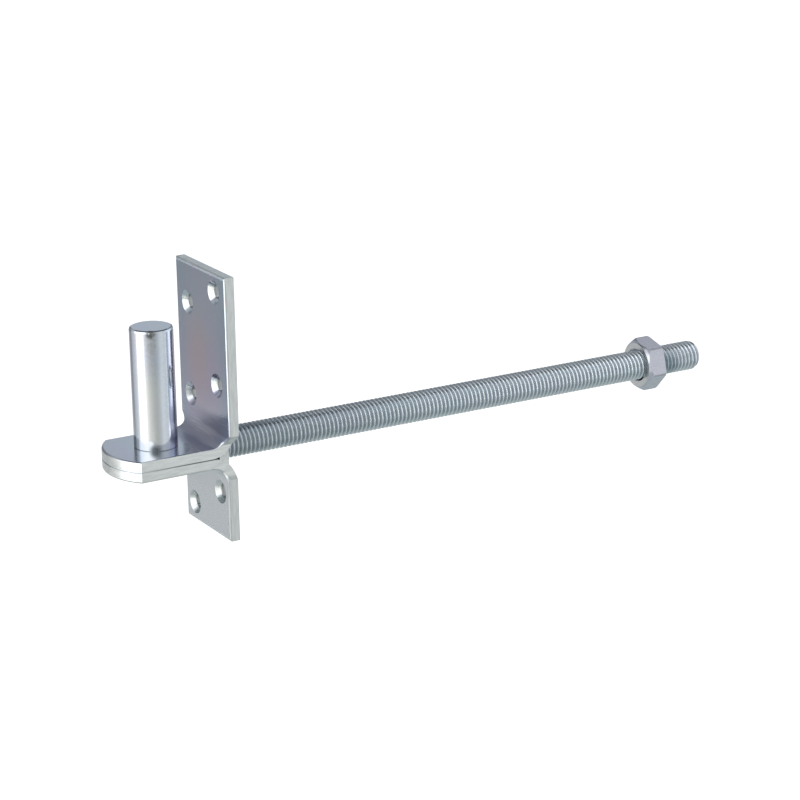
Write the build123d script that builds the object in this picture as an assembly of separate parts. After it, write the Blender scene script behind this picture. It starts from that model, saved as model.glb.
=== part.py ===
from build123d import *
from math import cos, radians, sqrt
import os

# Screw-in gate hinge: a hinge pin on two folded plates that are joined back to back, with a long threaded
# rod that goes through the post, and its nut. Millimetres. +Z is up along the hinge pin, and +X runs along
# the rod, away from the plates. The origin is on the pin's axis, where the gate's eye rests on the tongue.

# Sheet and folds
SHEET = 4.0
FOLD_INNER_RADIUS = 5.0
ROLLED_EDGE = 0.8
SHEARED_EDGE = 0.25

# Tongues, which lie one on the other and carry the pin
TONGUE_WIDTH = 32.0
TONGUE_REACH = 43.5
TONGUE_TIP_RADIUS = 23.5

# Upper leg
UPPER_LEG_WIDTH = 40.0
UPPER_LEG_HEIGHT = 68.0
UPPER_CORNER_RADIUS = 0.8

# Lower leg
LOWER_LEG_WIDTH = 36.0
LOWER_LEG_HEIGHT = 32.0
LOWER_CORNER_RADIUS = 3.0

# Shoulders, where each leg narrows to its tongue inside the fold
SHOULDER_TOP = 8.5
SHOULDER_DROP = 3.5
SHOULDER_RADIUS = 1.5

# Countersunk screw holes, in two columns that are staggered so that the wood does not split
SCREW_HOLE_DIAMETER = 5.5
COUNTERSINK_DIAMETER = 9.0
HOLE_COLUMN_SPACING = 22.0
UPPER_HOLE_PITCH = 35.0
UPPER_HOLE_END_MARGIN = 7.0
UPPER_HOLE_STAGGER = 8.5
LOWER_HOLE_END_MARGIN = 7.0
LOWER_HOLE_STAGGER = 10.5

# Hinge pin, with a spigot through both tongues that is peened over underneath
PIN_DIAMETER = 16.0
PIN_HEIGHT = 45.0
PIN_SETBACK = 24.0
PIN_EDGE_LONG = 0.9
PIN_EDGE_SHORT = 0.3
SPIGOT_DIAMETER = 12.0
PEENED_HEAD_DIAMETER = 16.0
PEENED_HEAD_HEIGHT = 1.2

# Threaded rod, as a plain bar over the crests of its thread
ROD_DIAMETER = 11.86
ROD_REACH = 217.5
ROD_END_CHAMFER = 1.8

# Weld in the groove between the folds, and its collar round the seat of the rod
WELD_FACE_DEPTH = 2.5
WELD_ROOT_DEPTH = 6.2
WELD_COLLAR = 2.2
WELD_COLLAR_DEPTH = 0.4

# Hex nut, with the thread left out of its bore
NUT_ACROSS_FLATS = 18.7
NUT_THICKNESS = 7.8
NUT_BORE_CLEARANCE = 0.07
NUT_FROM_END = 20.7
NUT_TURN = 16.6
NUT_CORNER_RADIUS = 0.4
NUT_FRONT_CHAMFER = 1.9
NUT_REAR_CHAMFER = 0.5
NUT_BORE_CHAMFER = 0.7

# Places worked out from the sizes above
BACK_X = PIN_SETBACK
FRONT_X = BACK_X - SHEET
JOINT_Z = -SHEET
FOLD_OUTER_RADIUS = FOLD_INNER_RADIUS + SHEET
FOLD_X = BACK_X - FOLD_OUTER_RADIUS
TIP_X = BACK_X - TONGUE_REACH
ROD_SEAT_X = BACK_X - WELD_FACE_DEPTH
ROD_END_X = BACK_X + ROD_REACH
NUT_X = ROD_END_X - NUT_FROM_END - NUT_THICKNESS

# Which side of its plane a shape is built on, and how closely a face or an edge is looked for
ABOVE = (Align.CENTER, Align.CENTER, Align.MIN)
BELOW = (Align.CENTER, Align.CENTER, Align.MAX)
CLOSE = 0.01


def across_rod(x):
    """A plane across the rod's axis: its own x runs along +Y, its own y runs up, and its normal along +X."""
    return Plane(origin=(x, 0, JOINT_Z), x_dir=(0, 1, 0), z_dir=(1, 0, 0))


def fold_section(leg_height):
    """Side view of a folded sheet, with its tongue on the joint of the tongues and its leg on the back."""
    with BuildSketch(Plane(origin=(0, 0, JOINT_Z), x_dir=(1, 0, 0), z_dir=(0, -1, 0))) as section:
        with BuildLine():
            fold_centre = (FOLD_X, FOLD_OUTER_RADIUS)
            Line((TIP_X, 0), (FOLD_X, 0))
            CenterArc(fold_centre, FOLD_OUTER_RADIUS, -90, 90)
            Polyline(
                (BACK_X, FOLD_OUTER_RADIUS),
                (BACK_X, leg_height),
                (FRONT_X, leg_height),
                (FRONT_X, FOLD_OUTER_RADIUS),
            )
            CenterArc(fold_centre, FOLD_INNER_RADIUS, 0, -90)
            Polyline((FOLD_X, SHEET), (TIP_X, SHEET), (TIP_X, 0))
        make_face()
    return section.sketch


def leg_outline(leg_width, leg_height, corner_radius):
    """Front view of a plate: the leg, its two shoulders, and the width of the tongue below them."""
    half_leg = leg_width / 2
    half_tongue = TONGUE_WIDTH / 2
    with BuildSketch(across_rod(BACK_X)) as outline:
        with BuildLine():
            Polyline(
                (0, 0),
                (half_tongue, 0),
                (half_tongue, SHOULDER_TOP - SHOULDER_DROP),
                (half_leg, SHOULDER_TOP),
                (half_leg, leg_height),
                (0, leg_height),
            )
            mirror(about=Plane.YZ)
        make_face()
        shoulder_foot, shoulder_top, leg_end = outline.vertices().group_by(Axis.Y)[1:]
        fillet(shoulder_foot + shoulder_top, SHOULDER_RADIUS)
        fillet(leg_end, corner_radius)
    return outline.sketch


def tongue_outline(leg_width):
    """Top view of a plate: one arc across the tip, and straight back from it past the leg."""
    arc_centre_x = TIP_X + TONGUE_TIP_RADIUS
    length = BACK_X - arc_centre_x
    with BuildSketch(Plane.XY.offset(JOINT_Z)) as outline:
        with Locations((arc_centre_x, 0)):
            Circle(TONGUE_TIP_RADIUS)
        with Locations((arc_centre_x + length / 2, 0)):
            Rectangle(length, max(leg_width, 2 * TONGUE_TIP_RADIUS))
    return outline.sketch


def rim(faces):
    """The edges round a group of neighbouring faces, without the edges that two of them share."""
    edges = [edge for face in faces for edge in face.edges()]
    return [edge for edge in edges if sum(edge.is_same(other) for other in edges) == 1]


def bend_face(plate, radius):
    """The face of a bend, found by its radius."""
    round_faces = plate.faces().filter_by(GeomType.CYLINDER)
    return round_faces.filter_by(lambda face: abs(face.radius - radius) < CLOSE)


def round_edges(plate):
    """Rounds the side that the punch rolled over, which ends inside the fold, and chamfers the other side."""
    inside = plate.faces().filter_by(Axis.X).sort_by(Axis.X)[:1]
    inside += plate.faces().filter_by(Axis.Z).filter_by_position(Axis.Z, -CLOSE, CLOSE)
    inside += bend_face(plate, FOLD_INNER_RADIUS)
    plate = fillet(rim(inside), ROLLED_EDGE)
    outside = plate.faces().filter_by(Axis.X).sort_by(Axis.X)[-1:]
    outside += plate.faces().filter_by(Axis.Z).sort_by(Axis.Z)[:1]
    outside += bend_face(plate, FOLD_OUTER_RADIUS)
    return chamfer(rim(outside), SHEARED_EDGE)


def screw_holes(places):
    """Cutters for holes through a leg, countersunk from its front, at places across and up from the joint."""
    countersink_depth = (COUNTERSINK_DIAMETER - SCREW_HOLE_DIAMETER) / 2
    hole = Cylinder(SCREW_HOLE_DIAMETER / 2, SHEET, align=ABOVE)
    hole += Cone(COUNTERSINK_DIAMETER / 2, SCREW_HOLE_DIAMETER / 2, countersink_depth, align=ABOVE)
    return [across_rod(FRONT_X) * Pos(across, up, 0) * hole for across, up in places]


def spigot_hole():
    """Cutter for the pin's spigot, through both tongues."""
    middle = Pos(0, 0, JOINT_Z)
    return middle * Cylinder(SPIGOT_DIAMETER / 2, 2 * SHEET)


def folded_plate(leg_width, leg_height, corner_radius, hole_places):
    """A plate with its leg up: the folded sheet is cut to the blank's outlines, rounded and punched."""
    folded = extrude(fold_section(leg_height), leg_width / 2, both=True)
    seen_along_rod = extrude(leg_outline(leg_width, leg_height, corner_radius), -TONGUE_REACH)
    seen_along_pin = extrude(tongue_outline(leg_width), leg_height)
    plate = round_edges(folded & seen_along_rod & seen_along_pin)
    for cutter in screw_holes(hole_places):
        plate -= cutter
    return plate - spigot_hole()


def upper_plate():
    """The long leg goes up, with four screw holes. The column nearer -Y sits higher."""
    half_spacing = HOLE_COLUMN_SPACING / 2
    top_hole = UPPER_LEG_HEIGHT - UPPER_HOLE_END_MARGIN
    places = []
    for row in range(2):
        up = top_hole - row * UPPER_HOLE_PITCH
        places += [(-half_spacing, up), (half_spacing, up - UPPER_HOLE_STAGGER)]
    return folded_plate(UPPER_LEG_WIDTH, UPPER_LEG_HEIGHT, UPPER_CORNER_RADIUS, places)


def lower_plate():
    """The short leg goes down, with two screw holes. It is made with its leg up and turned over."""
    half_spacing = HOLE_COLUMN_SPACING / 2
    end_hole = LOWER_LEG_HEIGHT - LOWER_HOLE_END_MARGIN
    places = [(half_spacing, end_hole), (-half_spacing, end_hole - LOWER_HOLE_STAGGER)]
    leg_up = folded_plate(LOWER_LEG_WIDTH, LOWER_LEG_HEIGHT, LOWER_CORNER_RADIUS, places)
    return mirror(leg_up, about=Plane.XY.offset(JOINT_Z))


def hinge_pin():
    """One turned piece: the pin with an eased top edge, the spigot, and the head peened from its end."""
    pin = Cylinder(PIN_DIAMETER / 2, PIN_HEIGHT, align=ABOVE)
    side = pin.faces().filter_by(GeomType.CYLINDER)[0]
    pin = chamfer(pin.edges().sort_by(Axis.Z)[-1], PIN_EDGE_LONG, PIN_EDGE_SHORT, reference=side)
    top = pin.faces().sort_by(Axis.Z)[-1]
    pin = chamfer(top.edges()[0], PIN_EDGE_LONG - PIN_EDGE_SHORT, PIN_EDGE_SHORT, reference=top)
    spigot = Cylinder(SPIGOT_DIAMETER / 2, 2 * SHEET, align=BELOW)
    head = Cone(SPIGOT_DIAMETER / 2, PEENED_HEAD_DIAMETER / 2, PEENED_HEAD_HEIGHT, align=BELOW)
    return pin + spigot + Pos(0, 0, -2 * SHEET) * head


def threaded_rod(plates):
    """The bar over the thread's crests. Its near end is dressed to sit in the groove between the folds."""
    length = ROD_END_X - ROD_SEAT_X
    bar = across_rod(ROD_SEAT_X) * Cylinder(ROD_DIAMETER / 2, length, align=ABOVE)
    bar = chamfer(bar.edges().sort_by(Axis.X)[-1], ROD_END_CHAMFER)
    for plate in plates:
        bar -= plate
    return bar


def groove_height(depth):
    """How far apart the two folds are, at a depth in front of the back."""
    ahead_of_centre = FOLD_OUTER_RADIUS - depth
    return 2 * (FOLD_OUTER_RADIUS - sqrt(FOLD_OUTER_RADIUS**2 - ahead_of_centre**2))


def rod_weld(plates, rod):
    """Weld metal that fills the root of the groove across the plates, and a collar round the rod's seat."""
    root_length = WELD_ROOT_DEPTH - WELD_FACE_DEPTH
    root_height = groove_height(WELD_FACE_DEPTH)
    root = Box(TONGUE_WIDTH, root_height, root_length, align=ABOVE)
    rod_radius = ROD_DIAMETER / 2
    collar = Cone(rod_radius + WELD_COLLAR, rod_radius, WELD_FACE_DEPTH - WELD_COLLAR_DEPTH, align=ABOVE)
    weld = across_rod(BACK_X - WELD_ROOT_DEPTH) * root + across_rod(ROD_SEAT_X) * collar
    for neighbour in [*plates, rod]:
        weld -= neighbour
    return weld


def hex_nut():
    """The nut, chamfered deeply towards the plates, with a bore that clears the crests of the thread."""
    bore_radius = ROD_DIAMETER / 2 + NUT_BORE_CLEARANCE
    sides = 6
    first_corner = 180 / sides - NUT_TURN
    hexagon = RegularPolygon(NUT_ACROSS_FLATS / 2, sides, major_radius=False, rotation=first_corner)
    hexagon = fillet(hexagon.vertices(), NUT_CORNER_RADIUS)
    across_corners = NUT_ACROSS_FLATS / cos(radians(180 / sides))
    turned = Cylinder(across_corners / 2, NUT_THICKNESS, align=ABOVE)
    turned = chamfer(turned.edges().filter_by(GeomType.CIRCLE).sort_by(Axis.Z)[0], NUT_FRONT_CHAMFER)
    turned = chamfer(turned.edges().filter_by(GeomType.CIRCLE).sort_by(Axis.Z)[-1], NUT_REAR_CHAMFER)
    nut = extrude(hexagon, NUT_THICKNESS) & turned
    nut -= Cylinder(bore_radius, NUT_THICKNESS, align=ABOVE)
    circles = nut.edges().filter_by(GeomType.CIRCLE)
    bore_edges = circles.filter_by(lambda edge: abs(edge.radius - bore_radius) < CLOSE)
    nut = chamfer(bore_edges, NUT_BORE_CHAMFER)
    return across_rod(NUT_X) * nut


def main():
    os.makedirs("parts", exist_ok=True)
    upper = upper_plate()
    lower = lower_plate()
    rod = threaded_rod([upper, lower])
    parts = {
        "upper_plate": upper,
        "lower_plate": lower,
        "hinge_pin": hinge_pin(),
        "threaded_rod": rod,
        "rod_weld": rod_weld([upper, lower], rod),
        "hex_nut": hex_nut(),
    }
    for name, part in parts.items():
        export_step(part, f"parts/{name}.step")


main()
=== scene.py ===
# %% [markdown]
# # A zinc-plated screw-in gate hinge
#
# The real object is made of two folded steel plates, an upright pin, a long threaded rod with a nut, and
# a little weld metal. All of it is dipped in the same zinc bath, so one family of finishes covers it.
#
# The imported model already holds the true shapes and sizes. This lesson gives them their finish, cuts the
# thread that the plain rod stands for, and lights the result like a catalogue photograph.
#
# All lengths are in metres, except where a name says millimetres.

# %% Load the frame
import bmesh
import bpy
from math import cos, floor, pi, radians, sin, sqrt, tau
from mathutils import Matrix, Vector


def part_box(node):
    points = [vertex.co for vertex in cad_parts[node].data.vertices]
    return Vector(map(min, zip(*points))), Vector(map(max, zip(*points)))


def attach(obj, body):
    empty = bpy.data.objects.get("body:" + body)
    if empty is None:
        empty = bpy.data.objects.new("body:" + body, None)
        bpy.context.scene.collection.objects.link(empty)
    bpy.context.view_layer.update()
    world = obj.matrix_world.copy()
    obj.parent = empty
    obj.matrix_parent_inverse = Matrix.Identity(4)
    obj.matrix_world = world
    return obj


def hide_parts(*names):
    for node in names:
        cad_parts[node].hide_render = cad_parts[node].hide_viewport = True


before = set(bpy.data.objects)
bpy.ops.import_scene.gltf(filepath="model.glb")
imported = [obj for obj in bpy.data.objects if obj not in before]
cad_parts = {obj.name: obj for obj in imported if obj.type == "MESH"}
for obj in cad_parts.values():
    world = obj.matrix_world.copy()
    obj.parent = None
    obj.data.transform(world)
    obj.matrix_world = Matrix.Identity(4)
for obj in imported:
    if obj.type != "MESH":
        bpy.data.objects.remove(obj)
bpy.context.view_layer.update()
MILLIMETRE = 0.001
print("nodes:", ", ".join(sorted(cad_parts)))

# %% [markdown]
# ## The camera
#
# A long lens from about a metre away flattens the perspective, as in the catalogue photograph. The
# camera could be aimed with a constraint, but a matrix built from three directions also holds the slight
# roll of the real camera, and it is plain arithmetic.

# %% Place the camera
CAMERA_TURN = radians(-29.94)
CAMERA_RISE = radians(17.33)
CAMERA_ROLL = radians(-0.85)
CAMERA_DISTANCE = 0.98836
CAMERA_AIM = Vector((0.102858, 0.000206, -0.000327))
LENS = 116.1
SENSOR = 36.0


def camera_axes(turn, rise, roll):
    """The camera's right, up and backward directions in the room."""
    back = Vector((sin(turn) * cos(rise), -cos(turn) * cos(rise), sin(rise)))
    level = Vector((cos(turn), sin(turn), 0.0))
    upright = back.cross(level)
    return level * cos(roll) + upright * sin(roll), upright * cos(roll) - level * sin(roll), back


right, up, back = camera_axes(CAMERA_TURN, CAMERA_RISE, CAMERA_ROLL)
lens = bpy.data.cameras.new("catalogue_lens")
lens.lens = LENS
lens.sensor_width = SENSOR
camera = bpy.data.objects.new("catalogue_camera", lens)
camera.matrix_world = Matrix((right, up, back)).transposed().to_4x4()
camera.location = CAMERA_AIM + back * CAMERA_DISTANCE
bpy.context.collection.objects.link(camera)
bpy.context.scene.camera = camera
print("camera at", [round(v, 3) for v in camera.location])

# %% [markdown]
# ## Sums with shader sockets
#
# A finish is mostly arithmetic on masks: this much of the film, less where the sheet was cut. Written
# with bare nodes, each sum takes several lines. The small class below wraps an output socket so that
# ordinary Python operators add the Math nodes, and the reflected forms let a number come first.

# %% Wrap a socket
class Wire:
    """An output socket that can be used in sums. Each operator adds one Math node."""

    def __init__(self, finish, made, output=0):
        self.finish = finish
        self.made = made
        self.socket = made.outputs[output]

    def __getitem__(self, output):
        return Wire(self.finish, self.made, output)

    def maths(self, operation, first, second):
        return self.finish.node("ShaderNodeMath", {"operation": operation}, {0: first, 1: second})

    def __add__(self, other):
        return self.maths("ADD", self, other)

    def __radd__(self, other):
        return self.maths("ADD", other, self)

    def __sub__(self, other):
        return self.maths("SUBTRACT", self, other)

    def __rsub__(self, other):
        return self.maths("SUBTRACT", other, self)

    def __mul__(self, other):
        return self.maths("MULTIPLY", self, other)

    def __rmul__(self, other):
        return self.maths("MULTIPLY", other, self)

    def __or__(self, other):
        return self.maths("MAXIMUM", self, other)

    def __ror__(self, other):
        return self.maths("MAXIMUM", other, self)

    def __abs__(self):
        return self.maths("ABSOLUTE", self, 0.0)


print("sums with wires: + - * | and abs, with a number on either side")

# %% [markdown]
# ## A finish and its nodes
#
# Every other node comes from one method that takes the node's type, its settings and its sockets. On
# top of it sit a few words that a plater would understand: where a point lies in millimetres, clouds
# of a given size, a soft spot, a step between two values and a blend of two colours.

# %% Make a finish
def screen(red, green, blue):
    """A colour as it looks on a screen, 0 to 255, turned into the linear light that shaders use."""
    return tuple(((v / 255 + 0.055) / 1.055) ** 2.4 for v in (red, green, blue)) + (1.0,)


def fill_ramp(ramp, stops):
    """Gives a colour ramp its stops. Each stop is a place from 0 to 1 and a colour."""
    first, last = ramp.elements
    first.position, first.color = stops[0]
    last.position, last.color = stops[-1]
    for position, colour in stops[1:-1]:
        ramp.elements.new(position).color = colour


class Finish:
    """A material, with short ways to add nodes to it."""

    def __init__(self, name, roughness, metallic=1.0):
        self.material = bpy.data.materials.new(name)
        self.material.use_nodes = True
        self.tree = self.material.node_tree
        self.shader = self.tree.nodes["Principled BSDF"]
        self.shader.inputs["Metallic"].default_value = metallic
        self.shader.inputs["Roughness"].default_value = roughness

    def node(self, kind, settings=None, sockets=None, output=0):
        made = self.tree.nodes.new(kind)
        for name, value in (settings or {}).items():
            if name == "stops":
                fill_ramp(made.color_ramp, value)
            else:
                setattr(made, name, value)
        for name, value in (sockets or {}).items():
            if isinstance(value, Wire):
                self.tree.links.new(value.socket, made.inputs[name])
            else:
                made.inputs[name].default_value = value
        return Wire(self, made, output)

    def feed(self, socket, wire):
        self.tree.links.new(wire.socket, self.shader.inputs[socket])

    def place(self):
        """The point on the piece in millimetres, in the frame of the whole object."""
        point = self.node("ShaderNodeTexCoord")["Object"]
        return self.node("ShaderNodeVectorMath", {"operation": "SCALE"},
                         {"Vector": point, "Scale": 1 / MILLIMETRE})

    def facing(self):
        """The direction that the surface faces, in the object's own frame."""
        return self.node("ShaderNodeTexCoord")["Normal"]

    def parts(self, vector):
        split = self.node("ShaderNodeSeparateXYZ", None, {"Vector": vector})
        return split["X"], split["Y"], split["Z"]

    def stretch(self, vector, factors):
        return self.node("ShaderNodeVectorMath", {"operation": "MULTIPLY"}, {0: vector, 1: factors})

    def clouds(self, vector, size, detail=2.0, roughness=0.5):
        """Soft noise from 0 to 1, whose patches are about size millimetres across."""
        return self.node("ShaderNodeTexNoise", None,
                         {"Vector": vector, "Scale": 1 / size, "Detail": detail, "Roughness": roughness})

    def step(self, value, low, high):
        """0 below low, 1 above high and a smooth rise between. With low above high, it falls."""
        return self.node("ShaderNodeMapRange", {"interpolation_type": "SMOOTHSTEP"},
                         {"Value": value, "From Min": low, "From Max": high})

    def band(self, value, middle, outer, inner):
        """1 within inner of a middle value, fading to 0 at outer from it."""
        return self.step(abs(value - middle), outer, inner)

    def spot(self, point, centre, size, edge=0.5, tall=1.0):
        """1 within about size millimetres of a centre, fading out over a share of that size."""
        pressed = self.stretch(point, (1.0, 1.0, 1 / tall))
        middle = (centre[0], centre[1], centre[2] / tall)
        away = self.node("ShaderNodeVectorMath", {"operation": "DISTANCE"}, {0: pressed, 1: middle})
        return self.step(away["Value"], size * (1 + edge), size * (1 - edge))

    def mix(self, factor, first, second, blend="MIX"):
        """The first colour where factor is 0 and the second where it is 1."""
        return self.node("ShaderNodeMix", {"data_type": "RGBA", "blend_type": blend},
                         {0: factor, 6: first, 7: second}, 2)

    def relief(self, height, depth, under=None):
        """A Bump node: height runs from 0 to 1, and depth is in millimetres."""
        sockets = {"Height": height, "Distance": depth * MILLIMETRE, "Strength": 1.0}
        if under:
            sockets["Normal"] = under
        return self.node("ShaderNodeBump", None, sockets)


print("mid grey in linear light:", round(screen(128, 128, 128)[0], 3))

# %% [markdown]
# ## The zinc and its blue film
#
# Bright zinc is a clean, slightly soft mirror. The blue passivation over it is a film so thin that it
# tints by interference, so the tone drifts between blue, lilac and green over a centimetre or two. The
# sheet under it is rolled and drawn steel, which leaves a fine grain and long faint scratches.
#
# An image of real zinc could be wrapped round each piece, but noise in the object's own millimetres
# has no seams and keeps its scale on every piece.

# %% Mix the zinc
ZINC = screen(196, 201, 204)
BLUE_FILM = screen(184, 194, 208)
LILAC_FILM = screen(196, 190, 207)
GREEN_FILM = screen(190, 200, 197)
CUT_ZINC = screen(200, 204, 202)
# This dark grey serves real stains and cut marks, and also paints shade: in the seam, on the lower rims, on
# the nut and beside the weld.
STAIN_AND_SHADE = screen(92, 96, 94)
BLACK = (0.0, 0.0, 0.0, 1.0)
FILM_PATCH = 14.0
FLECK = 1.1
GRAIN = 0.35


def film(finish, point, shift):
    """The drifting tone of the passivation film. A shift moves the clouds, so that pieces differ."""
    moved = finish.node("ShaderNodeVectorMath", {"operation": "ADD"}, {0: point, 1: shift})
    warm = finish.step(finish.clouds(moved, FILM_PATCH), 0.42, 0.62)
    green = finish.step(finish.clouds(moved, FILM_PATCH * 0.6, 3.0), 0.5, 0.7)
    tone = finish.mix(0.5, ZINC, BLUE_FILM)
    tone = finish.mix(warm * 0.3, tone, LILAC_FILM)
    return finish.mix(green * 0.35, tone, GREEN_FILM)


def mottle(finish, point, tone, amount=0.1):
    """Small light and dark flecks in the plating, about a millimetre across."""
    flecks = finish.clouds(point, FLECK, 4.0, 0.6)
    darker = finish.mix(amount, tone, BLACK)
    return finish.mix(finish.step(flecks, 0.35, 0.65), darker, tone), flecks


def scratches(finish, point, factors, size=0.5):
    """Long fine scratches. A small factor stretches them along that axis."""
    lines = finish.clouds(finish.stretch(point, factors), size, 3.0, 0.6)
    return finish.step(lines, 0.52, 0.68)


print("zinc in linear light:", [round(v, 3) for v in ZINC[:3]])

# %% [markdown]
# ## The folded plates
#
# The plates are sheared and punched from sheet, then folded. A sheared edge has two zones: a burnished
# band where the punch slid, and a torn band below it, both drawn out along the edge. The faces keep the
# sheet's smooth skin, which rolls over into a small round rim on the side that the punch met first.
#
# Edges, rims and hole walls could be given materials of their own, face by face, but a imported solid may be
# meshed anew at any time. Masks from a point's place and from the direction that the surface faces find
# them on any mesh.

# %% Find the parts of a plate
UPPER_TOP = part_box("upper_plate")[1].z / MILLIMETRE
LOWER_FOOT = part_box("lower_plate")[0].z / MILLIMETRE
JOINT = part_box("lower_plate")[1].z / MILLIMETRE
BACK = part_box("upper_plate")[1].x / MILLIMETRE
SHEET = -JOINT
FRONT = BACK - SHEET
FOLD_INSIDE = 5.0
FOLD_OUTSIDE = FOLD_INSIDE + SHEET
TIP_START = 6.0
HOLE_REACH = 15.7
COUNTERSINK_FOOT = FRONT + 1.55


def edge_mask(finish, point, end_height):
    """1 on the sheared edges of a plate and 0 on its rolled faces."""
    x, _, z = finish.parts(point)
    _, ny, nz = finish.parts(finish.facing())
    sides = finish.step(abs(ny), 0.5, 0.7)
    tip = finish.step(x, TIP_START, TIP_START - 1) * finish.step(abs(nz), 0.6, 0.4)
    end = finish.band(z, end_height, 0.6, 0.4) * finish.step(abs(nz), 0.5, 0.7)
    return sides | tip | end


def hole_mask(finish, point, end_height):
    """1 on the straight walls of the screw holes, under their countersinks, and 0 elsewhere."""
    x, y, z = finish.parts(point)
    in_sheet = finish.step(x, FRONT + 0.05, FRONT + 0.25) * finish.step(x, BACK - 0.05, BACK - 0.2)
    in_width = finish.step(abs(y), HOLE_REACH + 0.1, HOLE_REACH - 0.1)
    past_fold = finish.step(abs(z - JOINT), FOLD_OUTSIDE + 0.2, FOLD_OUTSIDE + 0.8)
    short_of_end = finish.step(abs(z - end_height), 0.5, 1.0)
    straight = finish.step(x, COUNTERSINK_FOOT - 0.25, COUNTERSINK_FOOT + 0.25)
    return in_sheet * in_width * past_fold * short_of_end * straight


def fold_mask(finish, point, edge):
    """1 round the inside of the fold, where the brake pressed the sheet, and 0 on the edges."""
    x, _, z = finish.parts(point)
    near_joint = finish.step(abs(z - JOINT), SHEET + 13, SHEET + 8)
    along = finish.step(x, FRONT - 13, FRONT - 6) * finish.step(x, BACK - 1, BACK - 2.5)
    return near_joint * along * (1 - edge)


def rim_masks(finish, point, half_width, end_height, edge):
    """Where the sheet ends: at the leg's sides, on their round rims alone, and on the rim of its end."""
    _, y, z = finish.parts(point)
    _, ny, _ = finish.parts(finish.facing())
    side = finish.step(abs(y), half_width - 1.2, half_width - 0.6)
    side_rim = side * finish.step(abs(ny), 0.97, 0.9)
    end_rim = finish.band(z, end_height, 1.4, 0.9) * (1 - edge)
    return side, side_rim, end_rim


print("sheet", round(SHEET, 2), "mm thick, joint between the tongues at", round(JOINT, 2), "mm")

# %% [markdown]
# The cut edges are one plain grey with marks drawn out along them, upright on the legs and level on the
# tongues. Painted shade darkens the seam where the tongues meet. The film on the upper leg is the most
# coloured: cool at its top and sides, purple lower down, with a warm blush in its middle and lilac above the
# fold. The lower leg is a plain grey.

# %% Tint the plates
LEG_PURPLE = screen(194, 185, 203)
LEG_LILAC = screen(204, 199, 203)
LEG_COOL = screen(176, 196, 206)
LEG_BLUSH = screen(212, 190, 180)
LEG_GREY = screen(195, 199, 200)
BLUSH_CENTRE = (20.0, 4.0, 30.0)
BLUSH_SIZE = 8.0
LEG_START = 14.0
SEAM_START = -14.0


def draw_cut_marks(finish, point):
    """The marks of shearing, from 0 to 1: upright on the legs and level on the tongues."""
    _, _, z = finish.parts(point)
    on_leg = finish.step(abs(z - JOINT), 6.0, FOLD_OUTSIDE)
    upright = finish.clouds(finish.stretch(point, (1.0, 0.5, 0.12)), 0.9, 4.0, 0.65)
    level = finish.clouds(finish.stretch(point, (0.12, 0.3, 1.0)), 0.9, 4.0, 0.65)
    return upright * on_leg + level * (1 - on_leg)


def cut_tone(finish, point, cut_marks):
    """The grey of a sheared edge, with painted shade along the seam between the tongues."""
    x, _, z = finish.parts(point)
    tone = finish.mix(finish.step(cut_marks, 0.62, 0.36) * 0.16, CUT_ZINC, STAIN_AND_SHADE)
    # Painted shade along the seam where the tongues meet.
    seam = finish.band(z, JOINT, 0.3, 0.12) * finish.step(x, SEAM_START, SEAM_START + 24)
    return finish.mix(seam * 0.7, tone, STAIN_AND_SHADE)


def upper_tones(finish, point, tone):
    """The film on the upper leg, cool at its borders and warm in its middle."""
    x, y, z = finish.parts(point)
    on_leg = finish.step(x, LEG_START, LEG_START + 5)
    drift = z + finish.clouds(point, 16.0, 2.0) * 14.0
    tone = finish.mix(finish.step(drift, 52.0, 34.0) * on_leg * 0.55, tone, LEG_PURPLE)
    tone = finish.mix(finish.step(drift, 22.0, 12.0) * on_leg * 0.5, tone, LEG_LILAC)
    wander = y + finish.clouds(point, 9.0, 3.0) * 10.0 - 5.0
    tone = finish.mix(finish.step(abs(wander), 8.0, 18.0) * on_leg * 0.5, tone, LEG_COOL)
    blush = finish.spot(point, BLUSH_CENTRE, BLUSH_SIZE, 0.8, tall=5 / 3)
    return finish.mix(blush * 0.45, tone, LEG_BLUSH)


def lower_tones(finish, point, tone):
    """The lower leg is a plain flat grey."""
    return finish.mix(0.8, tone, LEG_GREY)


print("blush", round(UPPER_TOP - BLUSH_CENTRE[2], 1), "mm under the upper leg's top")

# %% Finish the plates
# Painted reflection and shade in the fold.
FOLD_DARK_REFLECTION = screen(124, 128, 156)
FOLD_BLUR = 0.22
WALL_STAIN = 0.45
SIDE_DARKENING = 0.084
SIDE_BLUR = 0.06
END_BLUR = 0.3
TORN_DEPTH = 0.03


def dress(node, finish):
    """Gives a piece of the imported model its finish."""
    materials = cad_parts[node].data.materials
    if not materials:
        materials.append(finish.material)
    for slot in range(len(materials)):
        materials[slot] = finish.material


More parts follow.
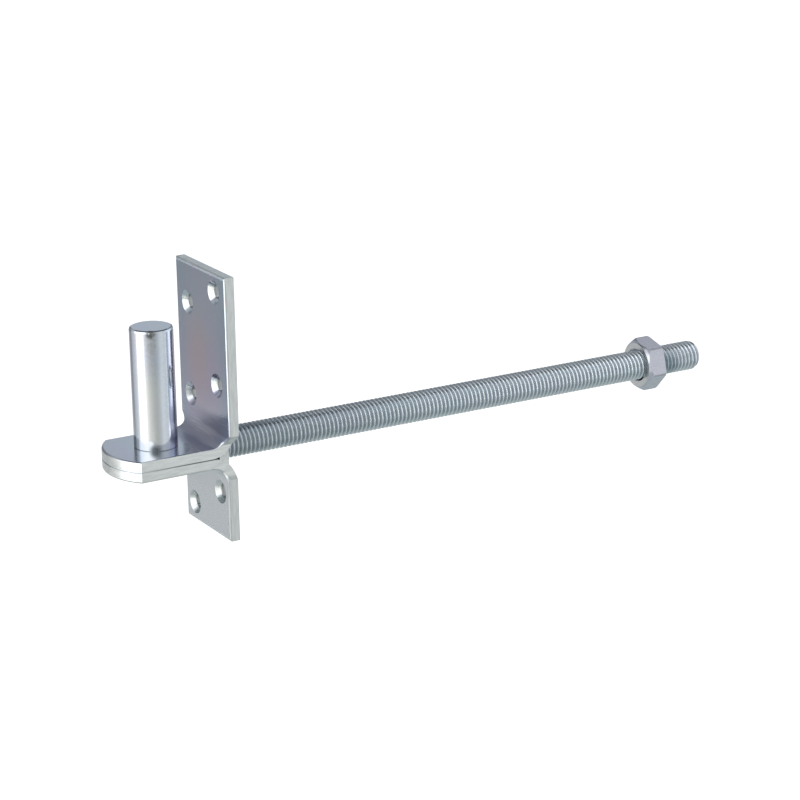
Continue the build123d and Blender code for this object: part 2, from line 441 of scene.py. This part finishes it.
def plate(node, end_height, shift, leg_tones, roughness, fold_reflection_and_marks=0.0, rim_shade=0.0, rim_blur=0.0):
    """Dresses a folded plate: the film, the sheared edges, the rims and their painted shade, the fold and
    its painted reflection, and the scratches.
    """
    finish = Finish(node + "_zinc", roughness)
    point = finish.place()
    half_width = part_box(node)[1].y / MILLIMETRE
    edge = edge_mask(finish, point, end_height)
    fold = fold_mask(finish, point, edge)
    side, side_rim, end_rim = rim_masks(finish, point, half_width, end_height, edge)
    cut_marks = draw_cut_marks(finish, point)
    marks = scratches(finish, point, (0.06, 0.5, 0.9))
    brake_lines = scratches(finish, point, (1.0, 0.04, 1.0))

    tone = leg_tones(finish, point, film(finish, point, shift))
    tone, flecks = mottle(finish, point, tone, 0.015)
    tone = finish.mix(edge, tone, cut_tone(finish, point, cut_marks))
    # Painted reflection and shade: round the inside of the fold the sheet is darkened and tinted purple.
    tone = finish.mix(fold * fold_reflection_and_marks, tone, FOLD_DARK_REFLECTION)
    tone = finish.mix(fold * brake_lines * fold_reflection_and_marks, tone, CUT_ZINC)
    tone = finish.mix(hole_mask(finish, point, end_height) * WALL_STAIN, tone, STAIN_AND_SHADE)
    # Darker along the legs' sides, and painted shade on the round side rims of the lower leg that dims their
    # highlight.
    tone = finish.mix((side * SIDE_DARKENING) | (side_rim * rim_shade), tone, STAIN_AND_SHADE)
    finish.feed("Base Color", tone)

    blur = ((side * SIDE_BLUR) | (side_rim * rim_blur)) + end_rim * END_BLUR + fold * FOLD_BLUR
    finish.feed("Roughness", roughness + edge * 0.1 + flecks * 0.03 + marks * 0.03 + blur)
    fine = finish.relief(finish.clouds(point, GRAIN, 2.0), 0.0002)
    scored = finish.relief(marks * (1 - edge), 0.0004, fine)
    finish.feed("Normal", finish.relief(cut_marks * edge, TORN_DEPTH, scored))
    dress(node, finish)


plate("upper_plate", UPPER_TOP, (3.0, 41.0, 7.0), upper_tones, 0.17, fold_reflection_and_marks=0.5)
plate("lower_plate", LOWER_FOOT, (60.0, 11.0, 29.0), lower_tones, 0.24, rim_shade=0.308, rim_blur=0.22)
print("plates finished")

# %% [markdown]
# ## The pin
#
# The pin is a length of drawn bar, so its marks run up and down it. It is the smoothest piece, and its side
# works as a curved mirror for the tent's bright panel. Handling has left a dark smear under its top edge,
# with a faint trail below it, and another smear where it stands on the plate, where a narrow ring of painted
# shade also runs round its foot. The lower half of the side that faces the lens is painted paler and a
# little warmer than the rest, as painted light.
#
# The smears could be painted on an image, but a soft spot in the object's own millimetres, broken up by
# noise, stays sharp at any distance.

# %% Finish the pin
PIN_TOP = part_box("hinge_pin")[1].z / MILLIMETRE
PIN_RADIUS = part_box("hinge_pin")[1].x / MILLIMETRE
SMEAR_X, SMEAR_Y = -0.45 * PIN_RADIUS, -0.89 * PIN_RADIUS
SMEAR_UNDER_TOP = 0.9
TRAIL_UNDER_TOP = 3.4
# Painted light for the lower side towards the lens.
LENS_SIDE_LIGHT = screen(218, 219, 215)
TRAIL_GREY = screen(140, 142, 126)
SMEAR_GREY = screen(74, 76, 68)
FOOT_SMEAR_AND_SHADE = screen(70, 76, 82)


def pin_smears(finish, point):
    """The smear under the top edge, its trail, the smear at the pin's foot, and a narrow ring of painted
    shade round its foot.
    """
    _, _, z = finish.parts(point)
    ragged = finish.clouds(finish.stretch(point, (1.0, 1.0, 0.6)), FLECK, 2.0)
    top = finish.spot(point, (SMEAR_X, SMEAR_Y, PIN_TOP - SMEAR_UNDER_TOP), 1.6)
    trail = finish.spot(point, (SMEAR_X, SMEAR_Y, PIN_TOP - TRAIL_UNDER_TOP), 1.9, 0.6, tall=2.0)
    foot = finish.spot(point, (SMEAR_X, SMEAR_Y, 0.5), 1.8, 0.6)
    # Painted shade: a narrow dark ring round the pin's foot, where it stands on the plate.
    line = finish.step(z, 0.35, 0.1) * finish.step(z, -0.6, -0.1)
    return top * finish.step(ragged, 0.2, 0.5), trail * finish.step(ragged, 0.35, 0.7), foot, line


def lens_side_light_mask(finish, point):
    """1 on the lower half of the pin's side, towards the lens, where light is painted."""
    _, _, z = finish.parts(point)
    nx, ny, nz = finish.parts(finish.facing())
    on_side = finish.step(abs(nz), 0.5, 0.3)
    towards_lens = finish.step(ny, -0.35, -0.7) * finish.step(nx, 0.2, -0.4)
    return finish.step(z, 36.0, 20.0) * on_side * towards_lens


def pin_finish():
    """Drawn bar under bright zinc."""
    finish = Finish("pin_zinc", 0.12)
    point = finish.place()
    tone = film(finish, point, (17.0, 5.0, 80.0))
    tone, flecks = mottle(finish, point, tone, 0.05)
    drawn = finish.clouds(finish.stretch(point, (1.0, 1.0, 0.05)), 0.6, 3.0, 0.6)
    top, trail, foot, line = pin_smears(finish, point)
    # Painted light: the lower half of the side towards the lens is painted paler.
    tone = finish.mix(lens_side_light_mask(finish, point) * 0.6, tone, LENS_SIDE_LIGHT)
    tone = finish.mix(trail * 0.45, tone, TRAIL_GREY)
    tone = finish.mix(top * 0.9, tone, SMEAR_GREY)
    # The foot smear, and the painted shade round the foot.
    tone = finish.mix((foot * 0.85) | (line * 0.7), tone, FOOT_SMEAR_AND_SHADE)
    finish.feed("Base Color", tone)
    finish.feed("Roughness", 0.08 + flecks * 0.05 + drawn * 0.05 + (top | foot) * 0.2)
    fine = finish.relief(drawn, 0.0015)
    finish.feed("Normal", finish.relief(finish.clouds(point, GRAIN, 2.0), 0.0006, fine))
    return finish


dress("hinge_pin", pin_finish())
print("pin", round(2 * PIN_RADIUS, 1), "mm thick and", round(PIN_TOP, 1), "mm high")

# %% [markdown]
# ## The weld
#
# The weld fills the groove between the two folds. Weld metal is rippled and spattered, and the zinc over
# it stays matt and darker than on the sheet. Its two ends were dressed flush with the plates' edges, so
# they are smoother. Ripples this shallow could be modelled, but relief in the material shows them as well.

# %% Finish the weld
RIPPLE = 1.2
RIPPLE_DEPTH = 0.18


def weld_finish():
    """Matt zinc over rippled weld metal, smoother on the two dressed ends."""
    finish = Finish("weld_zinc", 0.42)
    point = finish.place()
    _, ny, _ = finish.parts(finish.facing())
    dressed = finish.step(abs(ny), 0.8, 0.95)
    tone, flecks = mottle(finish, point, CUT_ZINC, 0.2)
    ripples = finish.clouds(finish.stretch(point, (1.0, 0.8, 1.0)), RIPPLE, 4.0, 0.6)
    tone = finish.mix(finish.step(ripples, 0.55, 0.4) * (0.6 - dressed * 0.45), tone, STAIN_AND_SHADE)
    finish.feed("Base Color", tone)
    finish.feed("Roughness", 0.32 + flecks * 0.2)
    finish.feed("Normal", finish.relief(ripples * (1 - dressed * 0.7), RIPPLE_DEPTH))
    return finish


dress("rod_weld", weld_finish())
print("weld ripples", RIPPLE, "mm apart")

# %% [markdown]
# ## The nut
#
# The nut is forged and tapped, and its flats keep a soft satin skin, with painted shade on the upper ones.
# Both end faces are painted paler, as painted light. Its corners, the outside of the chamfer on its upper
# side and the rim of its bore are painted darker, as painted shade. The distance from the rod's axis tells
# these zones apart, which a picture mapped onto six flats would have to repeat six times.

# %% Finish the nut
ROD_AXIS = (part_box("threaded_rod")[0].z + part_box("threaded_rod")[1].z) / 2 / MILLIMETRE
NUT_CORNER = 10.6
NUT_CHAMFER_OUTSIDE = 9.7
NUT_BORE_OUTSIDE = 6.4
NUT_TOP_SHADE = screen(158, 150, 158)
END_FACE_LIGHT = screen(216, 216, 211)


def around_rod(finish, point):
    """The distance of a point from the rod's axis, in millimetres."""
    across = finish.stretch(point, (0.0, 1.0, 1.0))
    away = finish.node("ShaderNodeVectorMath", {"operation": "DISTANCE"},
                       {0: across, 1: (0.0, 0.0, ROD_AXIS)})
    return away["Value"]


def nut_zones(finish, point):
    """1 on the upper flats (painted shade), on the end faces (painted light), and on the chamfer, corners
    and bore (painted shade).
    """
    radius = around_rod(finish, point)
    nx, _, nz = finish.parts(finish.facing())
    # Painted shade on the upper flats.
    upper = finish.step(nz, -0.5, 0.1)
    # Painted light: both end faces are painted paler.
    turned = finish.step(abs(nx), 0.96, 0.99)
    chamfer = finish.step(abs(nx), 0.5, 0.6) * finish.step(abs(nx), 0.98, 0.95)
    outer = finish.step(radius, NUT_CHAMFER_OUTSIDE - 0.2, NUT_CHAMFER_OUTSIDE + 0.2)
    # Painted shade follows: on the upper outside of the chamfer, along the corners and round the bore.
    chamfer_shade = chamfer * outer * finish.step(nz, -0.2, 0.1) * 0.6
    corner = finish.step(radius, NUT_CORNER - 0.1, NUT_CORNER + 0.1) * (1 - chamfer) * 0.5
    bore = finish.step(radius, NUT_BORE_OUTSIDE + 0.3, NUT_BORE_OUTSIDE - 0.3) * 0.15
    return upper, turned, (chamfer_shade, corner, bore)


def nut_finish():
    """Satin zinc on the flats, painted paler on the end faces and painted darker on the upper flats,
    chamfer, corners and bore.
    """
    finish = Finish("nut_zinc", 0.26)
    point = finish.place()
    upper, turned, wear_and_shade = nut_zones(finish, point)
    tone = finish.mix(0.12, film(finish, point, (31.0, 2.0, 55.0)), LILAC_FILM)
    tone, flecks = mottle(finish, point, tone, 0.08)
    # Painted shade on the upper flats.
    tone = finish.mix(upper * 0.2, tone, NUT_TOP_SHADE)
    # Painted light on the end faces.
    tone = finish.mix(turned * 0.6, tone, END_FACE_LIGHT)
    # Painted shade on the chamfer, corners and bore.
    for zone in wear_and_shade:
        tone = finish.mix(zone, tone, STAIN_AND_SHADE)
    finish.feed("Base Color", tone)
    finish.feed("Roughness", 0.22 + flecks * 0.14)
    forged = finish.relief(finish.clouds(point, 1.6, 3.0), 0.02)
    finish.feed("Normal", finish.relief(finish.clouds(point, GRAIN, 2.0), 0.0015, forged))
    return finish


dress("hex_nut", nut_finish())
print("rod axis at", round(ROD_AXIS, 2), "mm, nut's corners", NUT_CORNER, "mm from it")

# %% [markdown]
# ## The thread
#
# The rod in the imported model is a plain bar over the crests. The real one has a coarse M12 thread,
# rolled along its whole length: flanks at 60 degrees, narrow flat crests and rounded roots.
#
# A Screw modifier on the profile could make it, but its two ends would stay open and slanted. Here the
# rod is one skin of rows that run along the bar. Each row starts a little further on than the last, so that
# crests and roots follow the helix and fall exactly on points, and points past an end are pulled back onto
# it. At the far end the crests run down a rounded nose. At the near end the bar is ground to fit between
# the folds.

# %% Shape one turn of the thread
PITCH = 1.75
CREST_FLAT = PITCH / 8
ROOT_FLAT = PITCH / 4
THREAD_DEPTH = 0.6134 * PITCH
rod_low, rod_high = (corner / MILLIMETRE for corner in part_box("threaded_rod"))
CREST = (rod_high.y - rod_low.y) / 2
ROOT = CREST - THREAD_DEPTH
NOSE = 3.0
ROOT_DIP = 0.07
CREST_EASE = 0.05
CREST_DROPS = (0.01, 0.07)


def turn_profile():
    """Points across one pitch: how far along it they are, and how far from the rod's axis."""
    flank = (PITCH - CREST_FLAT - ROOT_FLAT) / 2
    crest_end = CREST_FLAT / 2
    down_flank = [
        (crest_end, CREST - CREST_DROPS[0]),
        (crest_end + CREST_EASE, CREST - CREST_DROPS[1]),
        (crest_end + flank / 2, (CREST + ROOT) / 2),
        (crest_end + flank, ROOT + ROOT_DIP),
    ]
    up_flank = [(PITCH - along, radius) for along, radius in reversed(down_flank)]
    return [(0.0, CREST), *down_flank, (PITCH / 2, ROOT), *up_flank]


profile = turn_profile()
print("thread", round(2 * CREST, 2), "mm over the crests,", round(2 * ROOT, 2), "mm in the roots")

# %% [markdown]
# The near end needs the folds' outer radius, so that each row of points stops where it meets a fold. The
# bar could be cut with a Boolean modifier instead, but on 50,000 faces that is slow and leaves slivers.

# %% Cut the thread
AROUND = 40
FOLD_CENTRE = BACK - FOLD_OUTSIDE
NEAR_END = rod_low.x
FAR_END = rod_high.x


def near_limit(height):
    """Where the rod may start, at a height from its axis, so that it lies against the folds."""
    reach = sqrt(max(0.0, FOLD_OUTSIDE ** 2 - (FOLD_OUTSIDE - min(abs(height), FOLD_OUTSIDE)) ** 2))
    return max(NEAR_END, FOLD_CENTRE + reach)


def nose_limit(along):
    """The largest radius at a place on the rod, which falls off round the nose."""
    into = max(0.0, along - (FAR_END - NOSE))
    return CREST - NOSE + sqrt(max(0.0, NOSE ** 2 - into ** 2))


def thread_point(along, radius, angle):
    """A point of the skin in metres. Points past an end of the rod all meet in one point there."""
    if along < near_limit(radius * sin(angle)):
        radius = ROOT
        along = near_limit(radius * sin(angle))
    along = min(along, FAR_END)
    radius = min(radius, nose_limit(along))
    place = (along, radius * cos(angle), ROD_AXIS + radius * sin(angle))
    return tuple(v * MILLIMETRE for v in place)


def cut_thread(name):
    """The threaded rod as one closed mesh."""
    first_turn = floor(NEAR_END / PITCH) - 1
    last_turn = floor(FAR_END / PITCH) + 1
    columns = [(turn * PITCH + along, radius) for turn in range(first_turn, last_turn + 1)
               for along, radius in profile]
    points = []
    for row in range(AROUND):
        angle = tau * row / AROUND
        advance = PITCH * row / AROUND
        points += [thread_point(along + advance, radius, angle) for along, radius in columns]
    count = len(columns)
    shift = len(profile)
    faces = []
    for row in range(AROUND):
        for column in range(count - 1):
            here = row * count + column
            if row < AROUND - 1:
                there = here + count
            elif column + shift < count - 1:
                there = column + shift
            else:
                continue
            faces.append((here, here + 1, there + 1, there))
    skin = bpy.data.meshes.new(name)
    skin.from_pydata(points, [], faces)
    return skin


thread_skin = cut_thread("rolled_thread")
print("thread skin:", len(thread_skin.vertices), "points,", len(profile), "across each pitch")

# %% [markdown]
# The points past the ends lie on each other, so they are merged. What is left open is one ring at each
# end, which is filled and given a centre.

# %% Close the rod
MERGE_WITHIN = 0.002 * MILLIMETRE


def close_ends(skin):
    """Merges what lies together, fills the two end rings and turns every face outwards."""
    work = bmesh.new()
    work.from_mesh(skin)
    bmesh.ops.remove_doubles(work, verts=work.verts, dist=MERGE_WITHIN)
    bmesh.ops.dissolve_degenerate(work, edges=work.edges, dist=MERGE_WITHIN)
    rims = [edge for edge in work.edges if len(edge.link_faces) == 1]
    caps = bmesh.ops.holes_fill(work, edges=rims, sides=0)["faces"]
    bmesh.ops.poke(work, faces=caps)
    bmesh.ops.triangulate(work, faces=[face for face in work.faces if len(face.verts) > 4])
    bmesh.ops.recalc_face_normals(work, faces=work.faces)
    for face in work.faces:
        face.smooth = True
    work.to_mesh(skin)
    still_open = sum(1 for edge in work.edges if len(edge.link_faces) != 2)
    volume = work.calc_volume()
    work.free()
    return len(caps), still_open, volume


caps, still_open, volume = close_ends(thread_skin)
rod = bpy.data.objects.new("threaded_rod_full", thread_skin)
bpy.context.collection.objects.link(rod)
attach(rod, "hinge")
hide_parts("threaded_rod")
print("ends filled:", caps, " open edges:", still_open, " volume:", round(volume / MILLIMETRE ** 3), "mm3")

# %% [markdown]
# ## The finish of the thread
#
# The crests carry a painted highlight and the roots a painted shade. The turns beside the weld carry a
# painted shadow, the near half of the rod is a shade darker, and a patch just past the nut is worn smooth.
# Two materials on the faces could tell crest from root, but the distance from the rod's axis does it softly,
# and with one material.

# %% Finish the thread
ROD_TONE = screen(180, 193, 198)
WORN_TONE = screen(140, 160, 166)
CREST_HIGHLIGHT = screen(226, 231, 232)
ROOT_SHADE = screen(106, 118, 126)
WORN_CENTRE = (225.0, -4.0, -6.0)
WORN_SIZE = 5.0


def rod_shadow_and_darkening(finish, point):
    """How much painted shadow beside the weld, and darkening on the near half, lies at a place along the
    rod.
    """
    x, _, _ = finish.parts(point)
    # Painted shadow on the turns beside the weld, where the rod meets the plates.
    weld_shadow = finish.step(x, BACK + 4, BACK)
    near_half = finish.step(x, 120.0, 50.0)
    return (weld_shadow * 0.45) | (near_half * 0.13)


def rod_finish():
    """Zinc with a painted highlight on the crests and painted shade in the roots."""
    finish = Finish("rod_zinc", 0.3)
    point = finish.place()
    radius = around_rod(finish, point)
    wear_and_shade = finish.spot(point, WORN_CENTRE, WORN_SIZE, 0.4)
    root = finish.step(radius, CREST - 0.45, ROOT)
    crest_highlight = finish.step(radius, CREST - 0.6, CREST - 0.15) * (1 - wear_and_shade * 0.9)
    tone = finish.mix(0.4, film(finish, point, (90.0, 12.0, 3.0)), ROD_TONE)
    tone = finish.mix(wear_and_shade * 0.55, tone, WORN_TONE)
    tone, flecks = mottle(finish, point, tone, 0.05)
    # Painted shadow beside the weld, and the darker near half.
    tone = finish.mix(rod_shadow_and_darkening(finish, point), tone, STAIN_AND_SHADE)
    # Painted highlight on the crests and painted shade in the roots.
    tone = finish.mix(crest_highlight * 0.5, tone, CREST_HIGHLIGHT)
    tone = finish.mix(root * 0.55, tone, ROOT_SHADE)
    finish.feed("Base Color", tone)
    finish.feed("Roughness", 0.26 + root * 0.15 + flecks * 0.03)
    finish.feed("Normal", finish.relief(finish.clouds(point, 1.6, 1.0), 0.001))
    return finish


rod.data.materials.append(rod_finish().material)
print("crests at", round(CREST, 2), "mm and roots at", round(ROOT, 2), "mm from the axis")

# %% [markdown]
# ## The floor
#
# The part is photographed clear of the ground, so the floor lies well below it. It is a pale diffuse
# surface that takes the soft shadow, with enough light of its own towards the lens and the metal to read
# as a white sweep.

# %% Lay the floor
FLOOR_HEIGHT = -0.2
FLOOR_SIZE = 60.0
FLOOR_GLOW = 0.74


def seen_directly(finish):
    """1 for rays from the lens, from metal and through glass, and 0 for the light between surfaces."""
    path = finish.node("ShaderNodeLightPath")
    return path["Is Camera Ray"] | path["Is Glossy Ray"] | path["Is Transmission Ray"]


def sheet_of(name, width, height):
    """A flat rectangle that faces +Z."""
    x, y = width / 2, height / 2
    mesh = bpy.data.meshes.new(name)
    mesh.from_pydata([(-x, -y, 0), (x, -y, 0), (x, y, 0), (-x, y, 0)], [], [(0, 1, 2, 3)])
    made = bpy.data.objects.new(name, mesh)
    bpy.context.collection.objects.link(made)
    return made


def floor_finish():
    """Diffuse white paper that also glows for rays that see it directly."""
    finish = Finish("floor_paper", 1.0, metallic=0.0)
    paper = finish.node("ShaderNodeBsdfDiffuse", None, {"Color": (0.8, 0.8, 0.8, 1.0)})
    glow = finish.node("ShaderNodeEmission", None,
                       {"Color": (1.0, 1.0, 1.0, 1.0), "Strength": seen_directly(finish) * FLOOR_GLOW})
    both = finish.node("ShaderNodeAddShader", None, {0: paper, 1: glow})
    output = finish.tree.nodes["Material Output"]
    finish.tree.links.new(both.socket, output.inputs["Surface"])
    return finish.material


ground = sheet_of("floor", FLOOR_SIZE, FLOOR_SIZE)
ground.location.z = FLOOR_HEIGHT
ground.data.materials.append(floor_finish())

# %% [markdown]
# ## The lamps
#
# Two wide soft boxes, one overhead and one at the side, light the paper and lay a soft shadow on it. They
# are kept out of the reflections, because the tent below decides what the metal shows.

# %% Stand the lamps
TENT_MIDDLE = 0.1


def direction(turn, rise):
    """A direction from the part: turn is measured from the rod's own direction towards the far side."""
    return Vector((cos(turn) * cos(rise), sin(turn) * cos(rise), sin(rise)))


def soft_box(name, turn, rise, distance, size, radiance):
    """A square lamp that faces the part. Radiance is how bright it looks, where 1 is white."""
    lamp = bpy.data.lights.new(name, "AREA")
    lamp.shape = "SQUARE"
    lamp.size = size
    lamp.energy = radiance * pi * size ** 2
    stand = bpy.data.objects.new(name, lamp)
    towards = direction(radians(turn), radians(rise))
    stand.location = Vector((TENT_MIDDLE, 0.0, 0.0)) + towards * distance
    stand.rotation_euler = towards.to_track_quat("Z", "Y").to_euler()
    stand.visible_camera = False
    stand.visible_glossy = False
    bpy.context.collection.objects.link(stand)


soft_box("top_soft_box", 250, 80, 0.9, 0.8, 0.9)
soft_box("side_soft_box", 176, 30, 0.9, 0.7, 0.8)

# %% [markdown]
# ## The light tent
#
# Polished metal shows its surroundings more than its own colour, so photographers put such a part in a
# tent: a ring of pale cloth with panels hung in it. The bright panel stands to the left of the pin and
# draws the white band down it and the glints on the thread. A grey panel on the far side darkens the
# front of the upper leg.
#
# Separate cards would leave gaps that show as false bands in the folds. One ring has none, and its tone is
# one colour ramp round it, so a panel is moved by changing one number. A turn is counted in degrees from
# the rod's own direction towards the far side, so the lens stands at about 240. A tone of 1 looks white.

# %% Choose the tones of the tent
TENT_RADIUS = 0.4
TENT_FOOT = -0.199
TENT_TOP = 0.36
TENT_SIDES = 96
BRIGHTEST = 3.6
ROUND_THE_RING = [
    (0, (0.95, 0.95, 0.95)),
    (38, (0.70, 0.73, 0.78)),
    (70, (0.62, 0.68, 0.75)),
    (82, (0.60, 0.65, 0.72)),
    (92, (0.68, 0.71, 0.74)),
    (116, (0.70, 0.72, 0.73)),
    (136, (0.68, 0.69, 0.70)),
    (142, (0.80, 0.81, 0.82)),
    (155, (1.00, 1.00, 1.00)),
    (164, (1.30, 1.30, 1.30)),
    (175, (3.60, 3.60, 3.60)),
    (190, (3.60, 3.60, 3.60)),
    (200, (1.40, 1.40, 1.38)),
    (209, (1.05, 1.05, 1.03)),
    (217, (0.84, 0.84, 0.82)),
    (231, (0.66, 0.67, 0.66)),
    (246, (0.60, 0.63, 0.63)),
    (260, (0.72, 0.75, 0.77)),
    (276, (1.00, 1.03, 1.05)),
    (289, (1.04, 1.07, 1.08)),
    (300, (0.98, 1.00, 1.02)),
    (314, (1.02, 1.02, 1.04)),
    (334, (0.98, 0.98, 1.00)),
    (345, (1.00, 1.00, 1.00)),
    (360, (0.95, 0.95, 0.95)),
]
UP_THE_GREY_PANEL = [
    (-150, (0.80, 0.82, 0.83)),
    (-122, (0.76, 0.78, 0.79)),
    (-98, (0.47, 0.46, 0.50)),
    (-60, (0.43, 0.43, 0.47)),
    (-20, (0.38, 0.40, 0.43)),
    (50, (0.26, 0.28, 0.31)),
    (170, (0.27, 0.29, 0.32)),
    (300, (0.62, 0.64, 0.66)),
]


def cloth(red, green, blue):
    """A tone of cloth as a share of the brightest one."""
    return (red / BRIGHTEST, green / BRIGHTEST, blue / BRIGHTEST, 1.0)


def ramp(finish, value, tones):
    """The tone at a value, from a list of places and tones in rising order."""
    low, high = tones[0][0], tones[-1][0]
    stops = [((place - low) / (high - low), cloth(*tone)) for place, tone in tones]
    return finish.node("ShaderNodeValToRGB", {"stops": stops}, {"Fac": (value - low) * (1 / (high - low))})


print("tones round the ring:", len(ROUND_THE_RING), " up the grey panel:", len(UP_THE_GREY_PANEL))

# %% [markdown]
# Some places need more than a ramp round the ring. A softer window over the bright panel lights the upper
# flanks of the thread. A dark panel and the dark far half of the roof draw the dark line along the top of
# the rod, and a pale strip in the roof draws the thin light line under it. A low strip to the right gives
# the pin its second band. The tent's foot is dark, except where the cut edges of the plates mirror it.

# %% Hang the panels
GREY_PANEL_TURNS = (88, 136)
WINDOW_TURN = 188
DARK_TURNS = (46, 63)
STRIP_TURN = 323
PALE_FOOT_TURN = 284
FOOT_LEVEL = TENT_FOOT / MILLIMETRE
ROOF_LEVEL = TENT_TOP / MILLIMETRE
WINDOW = cloth(2.52, 2.52, 2.52)
STRIP = cloth(2.016, 2.052, 2.124)
ROOF_CLOTH = cloth(1.008, 1.044, 1.08)
GROUND_SHEET = cloth(0.576, 0.63, 0.63)
DARK_CLOTH = cloth(0.18, 0.198, 0.216)


def turn_at(finish, point):
    """The place round the ring, in degrees."""
    x, y, _ = finish.parts(point)
    angle = finish.node("ShaderNodeMath", {"operation": "ARCTAN2"}, {0: y, 1: x})
    return angle * (360 / tau) + 180


def hang_grey_panel(finish, z, turn, tone):
    """The grey panel on the far side, whose first side leans a little as it rises."""
    first, last = GREY_PANEL_TURNS
    leaning = turn + (z - 134) * 0.1
    on_panel = finish.step(leaning, first - 4, first + 4) * finish.step(turn, last + 3, last - 3)
    below_roof = finish.step(z, ROOF_LEVEL - 5, ROOF_LEVEL - 15)
    return finish.mix(on_panel * below_roof, tone, ramp(finish, z, UP_THE_GREY_PANEL))


def open_window(finish, z, turn, tone):
    """A soft window over the bright panel, wider as it rises, and a fainter one under it."""
    high = finish.step(z, 60, 260)
    under = finish.step(z, -108, -126)
    aside = abs(turn - (WINDOW_TURN + high * 18 + under * 12)) - high * 12
    over_or_under = finish.step(z, -30, 40) | (under * 0.7)
    return finish.mix(finish.step(aside, 36, 24) * over_or_under, tone, WINDOW)


def hang_dark_panel(finish, turn, tone):
    """The dark panel, from the tent's foot to its roof."""
    first, last = DARK_TURNS
    on_panel = finish.step(turn, first - 2, first + 2) * finish.step(turn, last + 3, last - 3)
    return finish.mix(on_panel, tone, DARK_CLOTH)


def cover_roof(finish, y, z, tone):
    """A grey roof that is dark over the far side, with a pale strip along the near side of the rod.

    The tent is turned by half a turn, so its own y runs towards the lens.
    """
    on_roof = finish.step(z, ROOF_LEVEL - 15, ROOF_LEVEL - 5)
    tone = finish.mix(on_roof, tone, ROOF_CLOTH)
    tone = finish.mix(on_roof * finish.step(y, 0, -20), tone, DARK_CLOTH)
    return finish.mix(on_roof * finish.band(y, 20, 24, 16), tone, STRIP)


def lay_ground_sheet(finish, point, z, turn, tone):
    """A dark sheet on the tent's foot, left pale in one wedge of it."""
    flat = finish.stretch(point, (1.0, 1.0, 0.0))
    out = finish.node("ShaderNodeVectorMath", {"operation": "LENGTH"}, {0: flat})["Value"]
    pale = finish.step(out, 90, 160) * finish.band(turn, PALE_FOOT_TURN, 32, 20)
    on_foot = finish.step(z, FOOT_LEVEL + 20, FOOT_LEVEL + 5) * (1 - pale)
    return finish.mix(on_foot, tone, GROUND_SHEET)


def tent_finish():
    """Cloth that only shines, with its tone set by the place round the ring and up it."""
    finish = Finish("tent_cloth", 1.0, metallic=0.0)
    finish.shader.inputs["Base Color"].default_value = BLACK
    finish.shader.inputs["Specular IOR Level"].default_value = 0.0
    finish.shader.inputs["Emission Strength"].default_value = BRIGHTEST
    point = finish.place()
    _, y, z = finish.parts(point)
    turn = turn_at(finish, point)
    tone = hang_grey_panel(finish, z, turn, ramp(finish, turn, ROUND_THE_RING))
    tone = open_window(finish, z, turn, tone)
    tone = hang_dark_panel(finish, turn, tone)
    tone = cover_roof(finish, y, z, tone)
    tone = finish.mix(finish.band(turn, STRIP_TURN, 9, 5) * finish.step(z, -40, -70), tone, STRIP)
    tone = lay_ground_sheet(finish, point, z, turn, tone)
    finish.feed("Emission Color", tone)
    finish.material.cycles.emission_sampling = "NONE"
    return finish.material


print("panels at", GREY_PANEL_TURNS, WINDOW_TURN, DARK_TURNS, STRIP_TURN, "degrees")

# %% [markdown]
# The ring itself is a drum with a foot and a roof. Only rays from shiny surfaces see it, so it neither
# lights the floor nor hides the part. It is turned by half a turn, which puts the seam of the angle on
# the rod's own direction, where the tone is the same on both sides.

# %% Pitch the tent
def pitch_tent():
    """A ring of cloth round the part, which only reflections see."""
    points, faces = [], []
    for side in range(TENT_SIDES):
        angle = tau * side / TENT_SIDES
        for height in (TENT_FOOT, TENT_TOP):
            points.append((TENT_RADIUS * cos(angle), TENT_RADIUS * sin(angle), height))
        here, there = 2 * side, 2 * ((side + 1) % TENT_SIDES)
        faces.append((here, here + 1, there + 1, there))
    foot = [2 * side for side in range(TENT_SIDES)]
    faces += [foot, [corner + 1 for corner in foot]]
    mesh = bpy.data.meshes.new("light_tent")
    mesh.from_pydata(points, [], faces)
    mesh.materials.append(tent_finish())
    made = bpy.data.objects.new("light_tent", mesh)
    made.location.x = TENT_MIDDLE
    made.rotation_euler.z = pi
    made.visible_camera = False
    made.visible_diffuse = False
    made.visible_shadow = False
    bpy.context.collection.objects.link(made)


pitch_tent()
print("tent of", TENT_SIDES, "sides,", 2 * TENT_RADIUS, "m across")

# %% [markdown]
# ## The light between things
#
# The world is white for the lens and for reflections, and a plain middle level for diffuse light, so that
# a colour renders about as it is written.

# %% Light the room
WORLD_LEVEL = 0.45


class RoomLight(Finish):
    """The world's own node tree, with the same short ways to add nodes."""

    def __init__(self, world):
        self.material = world
        self.tree = world.node_tree


world = bpy.data.worlds.new("studio")
world.use_nodes = True
bpy.context.scene.world = world
room = RoomLight(world)
sees = seen_directly(room)
level = WORLD_LEVEL + sees * (1 - WORLD_LEVEL)
backdrop = world.node_tree.nodes["Background"]
backdrop.inputs["Color"].default_value = (1.0, 1.0, 1.0, 1.0)
world.node_tree.links.new(level.socket, backdrop.inputs["Strength"])
bpy.context.scene.view_settings.view_transform = "Standard"
print("world lit")

# %% [markdown]
# ## The size of the result
#
# The dressed part has to stay as large as the imported model.

# %% Finish
print("finished")
